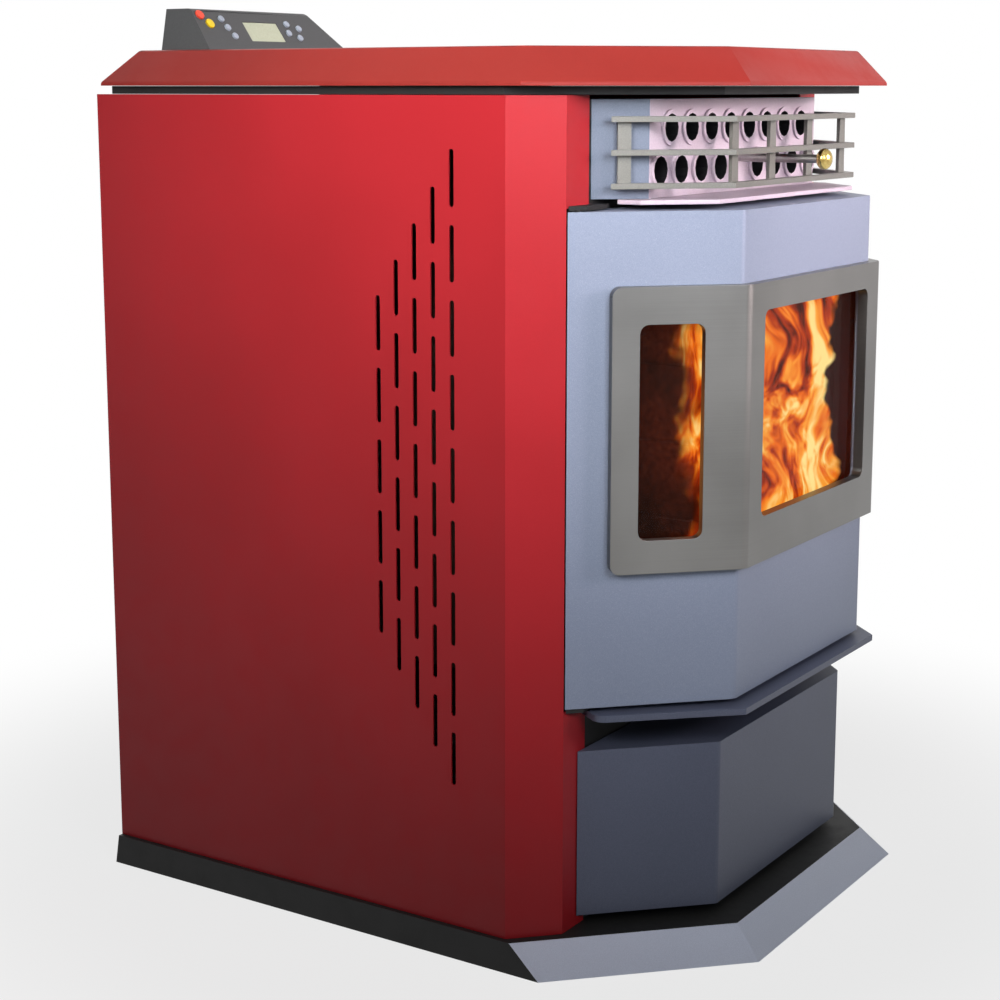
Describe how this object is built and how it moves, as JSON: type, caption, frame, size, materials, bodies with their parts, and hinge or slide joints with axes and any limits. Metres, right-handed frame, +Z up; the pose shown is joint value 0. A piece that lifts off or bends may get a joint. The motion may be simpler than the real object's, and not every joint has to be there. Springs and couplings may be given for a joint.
{
  "type": "pellet stove",
  "caption": "Freestanding pellet stove with a bay door, side and front panes, ash drawer, hopper lid, push-button console, tube heat exchanger, auger feed and blowers.",
  "frame": {"origin": "on the floor at the middle of the plan box", "axes": "+X to the right as seen from the front, +Y to the back, +Z up; the door faces -Y"},
  "size_m": [0.6, 0.71, 0.8593],
  "materials": {
    "burgundy": "satin burgundy paint",
    "red": "satin red paint",
    "slate": "metallic blue-grey paint",
    "black": "satin black paint",
    "steel": "brushed",
    "tube": "silver-grey high temperature paint",
    "galvanised": "zinc-coated sheet",
    "cast_iron": "heat-darkened",
    "brick": "rough brown refractory",
    "brass": "polished",
    "glass": "heat-resistant, clear",
    "rope": "braided glass rope",
    "rubber": "matt",
    "shell": "matt dark grey",
    "screen": "liquid-crystal window",
    "start_red": "semi-gloss red",
    "stop_yellow": "semi-gloss yellow",
    "key_grey": "matt"
  },
  "bodies": {
    "stove": {"base_pedestal": "black", "levelling_foot_front_left": "rubber", "levelling_foot_front_right": "rubber", "levelling_foot_back_left": "rubber", "levelling_foot_back_right": "rubber", "side_panel_left": "burgundy", "side_panel_right": "burgundy", "back_panel": "black", "power_inlet": "rubber", "spacer_frame": "black", "top_plate": "red", "console_housing": "shell", "console_screen": "screen", "front_frame": "black", "firebox_shell": "cast_iron", "fire_bricks_back": "brick", "fire_bricks_left": "brick", "fire_bricks_right": "brick", "burn_pot": "cast_iron", "igniter": "steel", "heat_exchanger": "tube", "louvre_grille": "slate", "sill_plate": "tube", "ash_lip": "black", "hopper": "galvanised", "auger_tube": "cast_iron", "auger_motor": "steel", "exhaust_duct": "galvanised", "exhaust_blower_housing": "cast_iron", "exhaust_blower_motor": "steel", "exhaust_pipe": "galvanised", "combustion_air_pipe": "galvanised", "room_blower_housing": "galvanised", "room_blower_motor": "steel", "room_air_duct": "galvanised"},
    "door": {"door_frame": "slate", "door_gasket": "rope", "door_pane_left": "glass", "door_pane_front": "glass", "door_pane_right": "glass", "window_trim": "steel"},
    "latch": {"latch_handle": "steel"},
    "ash_drawer": {"ash_drawer_front": "slate", "ash_pan": "galvanised"},
    "tube_scraper": {"scraper": "steel", "scraper_knob": "brass"},
    "lid": {"hopper_lid": "red", "hopper_lid_seal": "rubber"},
    "auger": {"auger_screw": "steel"},
    "exhaust_fan": {"exhaust_impeller": "steel"},
    "room_fan": {"room_blower_wheel": "galvanised"},
    "start_button_body": {"start_button": "start_red"},
    "stop_button_body": {"stop_button": "stop_yellow"},
    "left_key_top_body": {"left_key_top": "key_grey"},
    "left_key_middle_body": {"left_key_middle": "key_grey"},
    "left_key_bottom_body": {"left_key_bottom": "key_grey"},
    "right_key_up_body": {"right_key_up": "key_grey"},
    "right_key_left_body": {"right_key_left": "key_grey"},
    "right_key_right_body": {"right_key_right": "key_grey"},
    "right_key_down_body": {"right_key_down": "key_grey"}
  },
  "joints": [
    {"name": "door_hinge", "type": "hinge", "parent": "stove", "child": "door", "pos_m": [-0.243, -0.21, 0.4595], "axis": [0, 0, -1], "range_deg": [0, 110]},
    {"name": "latch_turn", "type": "hinge", "parent": "door", "child": "latch", "pos_m": [0.228, -0.21, 0.34], "axis": [0, -1, 0], "range_deg": [0, 90]},
    {"name": "ash_drawer_slide", "type": "slide", "parent": "stove", "child": "ash_drawer", "axis": [0, -1, 0], "range_m": [0, 0.25]},
    {"name": "scraper_pull", "type": "slide", "parent": "stove", "child": "tube_scraper", "axis": [0, -1, 0], "range_m": [0, 0.19]},
    {"name": "hopper_lid_hinge", "type": "hinge", "parent": "stove", "child": "lid", "pos_m": [0.105, 0.258, 0.8173], "axis": [-1, 0, 0], "range_deg": [0, 80]},
    {"name": "auger_spin", "type": "hinge", "parent": "stove", "child": "auger", "pos_m": [0, 0.212, 0.19], "axis": [0, -0.5379, 0.843], "continuous": true},
    {"name": "exhaust_fan_spin", "type": "hinge", "parent": "stove", "child": "exhaust_fan", "pos_m": [-0.145, 0.1, 0.31], "axis": [0, 1, 0], "continuous": true},
    {"name": "room_fan_spin", "type": "hinge", "parent": "stove", "child": "room_fan", "pos_m": [0.155, 0.1255, 0.112], "axis": [1, 0, 0], "continuous": true},
    {"name": "start_button_press", "type": "slide", "parent": "stove", "child": "start_button_body", "axis": [0, 0.8123, -0.5832], "range_m": [0, 0.0012], "stiffness_N_per_m": 300},
    {"name": "stop_button_press", "type": "slide", "parent": "stove", "child": "stop_button_body", "axis": [0, 0.8123, -0.5832], "range_m": [0, 0.0012], "stiffness_N_per_m": 300},
    {"name": "left_key_top_press", "type": "slide", "parent": "stove", "child": "left_key_top_body", "axis": [0, 0.8123, -0.5832], "range_m": [0, 0.0012], "stiffness_N_per_m": 300},
    {"name": "left_key_middle_press", "type": "slide", "parent": "stove", "child": "left_key_middle_body", "axis": [0, 0.8123, -0.5832], "range_m": [0, 0.0012], "stiffness_N_per_m": 300},
    {"name": "left_key_bottom_press", "type": "slide", "parent": "stove", "child": "left_key_bottom_body", "axis": [0, 0.8123, -0.5832], "range_m": [0, 0.0012], "stiffness_N_per_m": 300},
    {"name": "right_key_up_press", "type": "slide", "parent": "stove", "child": "right_key_up_body", "axis": [0, 0.8123, -0.5832], "range_m": [0, 0.0012], "stiffness_N_per_m": 300},
    {"name": "right_key_left_press", "type": "slide", "parent": "stove", "child": "right_key_left_body", "axis": [0, 0.8123, -0.5832], "range_m": [0, 0.0012], "stiffness_N_per_m": 300},
    {"name": "right_key_right_press", "type": "slide", "parent": "stove", "child": "right_key_right_body", "axis": [0, 0.8123, -0.5832], "range_m": [0, 0.0012], "stiffness_N_per_m": 300},
    {"name": "right_key_down_press", "type": "slide", "parent": "stove", "child": "right_key_down_body", "axis": [0, 0.8123, -0.5832], "range_m": [0, 0.0012], "stiffness_N_per_m": 300}
  ]
}
